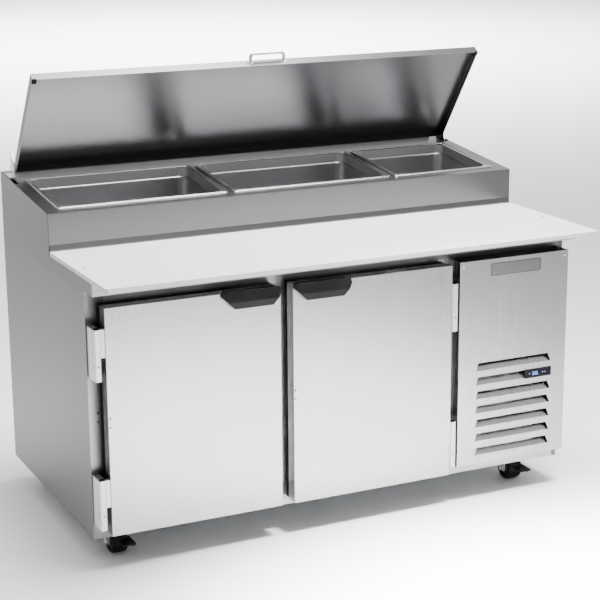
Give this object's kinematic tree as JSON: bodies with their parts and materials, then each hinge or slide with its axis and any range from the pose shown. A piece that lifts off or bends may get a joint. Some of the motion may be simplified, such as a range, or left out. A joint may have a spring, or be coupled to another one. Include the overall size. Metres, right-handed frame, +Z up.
{
  "type": "refrigerated prep table",
  "caption": "Refrigerated prep table on casters: hinged lid over a raised row of pans, deep cutting board, hinged doors and a louvred machine bay.",
  "frame": {"origin": "on the floor, under the middle of the whole object's box, cutting board included", "axes": "+X to the right along the front, as a person at the cutting board sees it, +Y from the front to the back, +Z up"},
  "size_m": [1.524, 0.956, 1.3402],
  "materials": {
    "stainless": "brushed stainless sheet",
    "stainless_dark": "brushed stainless, darker lie of the grain",
    "pan_steel": "drawn stainless, satin",
    "galvanised": "galvanised or plated steel",
    "aluminium": "satin aluminium",
    "board_white": "white cutting board plastic, fine texture",
    "black_plastic": "moulded black plastic",
    "gasket_black": "soft black rubber",
    "wheel_black": "hard dark rubber",
    "machine_black": "black paint",
    "liner_white": "white coated sheet",
    "brake_steel": "black coated steel"
  },
  "bodies": {
    "cabinet": {"left_wall": "stainless", "cabinet_floor": "stainless", "bulkhead": "stainless", "side_panel_right": "stainless", "header_rail": "stainless", "mullion": "stainless", "top_deck": "stainless", "end_panel_left": "stainless", "end_panel_right": "stainless", "rail_front": "stainless", "rail_back": "stainless", "grille_panel": "stainless", "rail_top": "stainless_dark", "pan_divider_1": "stainless_dark", "pan_divider_2": "stainless_dark", "back_wall": "galvanised", "rear_panel": "galvanised", "base_pan": "galvanised", "lid_bracket_left": "galvanised", "shelf_left": "galvanised", "shelf_right": "galvanised", "condenser": "aluminium", "evaporator": "aluminium", "hinge_base_left_upper": "aluminium", "hinge_base_left_lower": "aluminium", "hinge_base_right_upper": "aluminium", "hinge_base_right_lower": "aluminium", "cutting_board": "board_white", "lid_bracket_right": "black_plastic", "controller": "black_plastic", "compressor": "machine_black"},
    "lid": {"lid_shell": "stainless", "lid_handle": "stainless"},
    "left_door": {"door_left": "stainless", "door_liner_left": "liner_white", "door_gasket_left": "gasket_black", "door_pull_left": "black_plastic", "hinge_arm_left_upper": "aluminium", "hinge_arm_left_lower": "aluminium"},
    "right_door": {"door_right": "stainless", "door_liner_right": "liner_white", "door_gasket_right": "gasket_black", "door_pull_right": "black_plastic", "hinge_arm_right_upper": "aluminium", "hinge_arm_right_lower": "aluminium"},
    "pan_left_lift": {"pan_left": "pan_steel"},
    "pan_centre_lift": {"pan_centre": "pan_steel"},
    "pan_right_lift": {"pan_right": "pan_steel"},
    "front_left_swivel": {"caster_fork_front_left": "galvanised"},
    "front_left_wheel": {"caster_wheel_front_left": "wheel_black"},
    "front_right_swivel": {"caster_fork_front_right": "galvanised"},
    "front_right_wheel": {"caster_wheel_front_right": "wheel_black"},
    "rear_left_swivel": {"caster_fork_rear_left": "galvanised"},
    "rear_left_wheel": {"caster_wheel_rear_left": "wheel_black"},
    "rear_right_swivel": {"caster_fork_rear_right": "galvanised"},
    "rear_right_wheel": {"caster_wheel_rear_right": "wheel_black"},
    "left_brake": {"caster_brake_left": "brake_steel"},
    "right_brake": {"caster_brake_right": "brake_steel"},
    "condenser_fan_body": {"condenser_fan": "aluminium"},
    "evaporator_fan_body": {"evaporator_fan": "black_plastic"}
  },
  "joints": [
    {"name": "lid_hinge", "type": "hinge", "parent": "cabinet", "child": "lid", "pos_m": [0, 0.4064, 1.0005], "axis": [-1, 0, 0], "range_deg": [-60, 0]},
    {"name": "left_door_hinge", "type": "hinge", "parent": "cabinet", "child": "left_door", "pos_m": [-0.749, -0.3425, 0.48], "axis": [0, 0, -1], "range_deg": [0, 100]},
    {"name": "right_door_hinge", "type": "hinge", "parent": "cabinet", "child": "right_door", "pos_m": [0.3525, -0.3425, 0.48], "axis": [0, 0, 1], "range_deg": [0, 100]},
    {"name": "pan_left_out", "type": "slide", "parent": "cabinet", "child": "pan_left_lift", "axis": [0, -0.1001, 0.995], "range_m": [0, 0.11]},
    {"name": "pan_centre_out", "type": "slide", "parent": "cabinet", "child": "pan_centre_lift", "axis": [0, -0.1001, 0.995], "range_m": [0, 0.11]},
    {"name": "pan_right_out", "type": "slide", "parent": "cabinet", "child": "pan_right_lift", "axis": [0, -0.1001, 0.995], "range_m": [0, 0.11]},
    {"name": "front_left_swivel_turn", "type": "hinge", "parent": "cabinet", "child": "front_left_swivel", "pos_m": [-0.671, -0.197, 0.08], "axis": [0, 0, 1], "continuous": true},
    {"name": "front_left_wheel_roll", "type": "hinge", "parent": "front_left_swivel", "child": "front_left_wheel", "pos_m": [-0.671, -0.217, 0.0375], "axis": [1, 0, 0], "continuous": true},
    {"name": "front_right_swivel_turn", "type": "hinge", "parent": "cabinet", "child": "front_right_swivel", "pos_m": [0.642, -0.197, 0.08], "axis": [0, 0, 1], "continuous": true},
    {"name": "front_right_wheel_roll", "type": "hinge", "parent": "front_right_swivel", "child": "front_right_wheel", "pos_m": [0.642, -0.217, 0.0375], "axis": [1, 0, 0], "continuous": true},
    {"name": "rear_left_swivel_turn", "type": "hinge", "parent": "cabinet", "child": "rear_left_swivel", "pos_m": [-0.671, 0.383, 0.08], "axis": [0, 0, 1], "continuous": true},
    {"name": "rear_left_wheel_roll", "type": "hinge", "parent": "rear_left_swivel", "child": "rear_left_wheel", "pos_m": [-0.671, 0.363, 0.0375], "axis": [1, 0, 0], "continuous": true},
    {"name": "rear_right_swivel_turn", "type": "hinge", "parent": "cabinet", "child": "rear_right_swivel", "pos_m": [0.642, 0.383, 0.08], "axis": [0, 0, 1], "continuous": true},
    {"name": "rear_right_wheel_roll", "type": "hinge", "parent": "rear_right_swivel", "child": "rear_right_wheel", "pos_m": [0.642, 0.363, 0.0375], "axis": [1, 0, 0], "continuous": true},
    {"name": "left_brake_press", "type": "hinge", "parent": "front_left_swivel", "child": "left_brake", "pos_m": [-0.671, -0.217, 0.0375], "axis": [1, 0, 0], "range_deg": [0, 15]},
    {"name": "right_brake_press", "type": "hinge", "parent": "front_right_swivel", "child": "right_brake", "pos_m": [0.642, -0.217, 0.0375], "axis": [1, 0, 0], "range_deg": [0, 15]},
    {"name": "condenser_fan_spin", "type": "hinge", "parent": "cabinet", "child": "condenser_fan_body", "pos_m": [0.574, -0.162, 0.245], "axis": [0, 1, 0], "continuous": true},
    {"name": "evaporator_fan_spin", "type": "hinge", "parent": "cabinet", "child": "evaporator_fan_body", "pos_m": [-0.172, 0.286, 0.696], "axis": [0, 1, 0], "continuous": true}
  ]
}
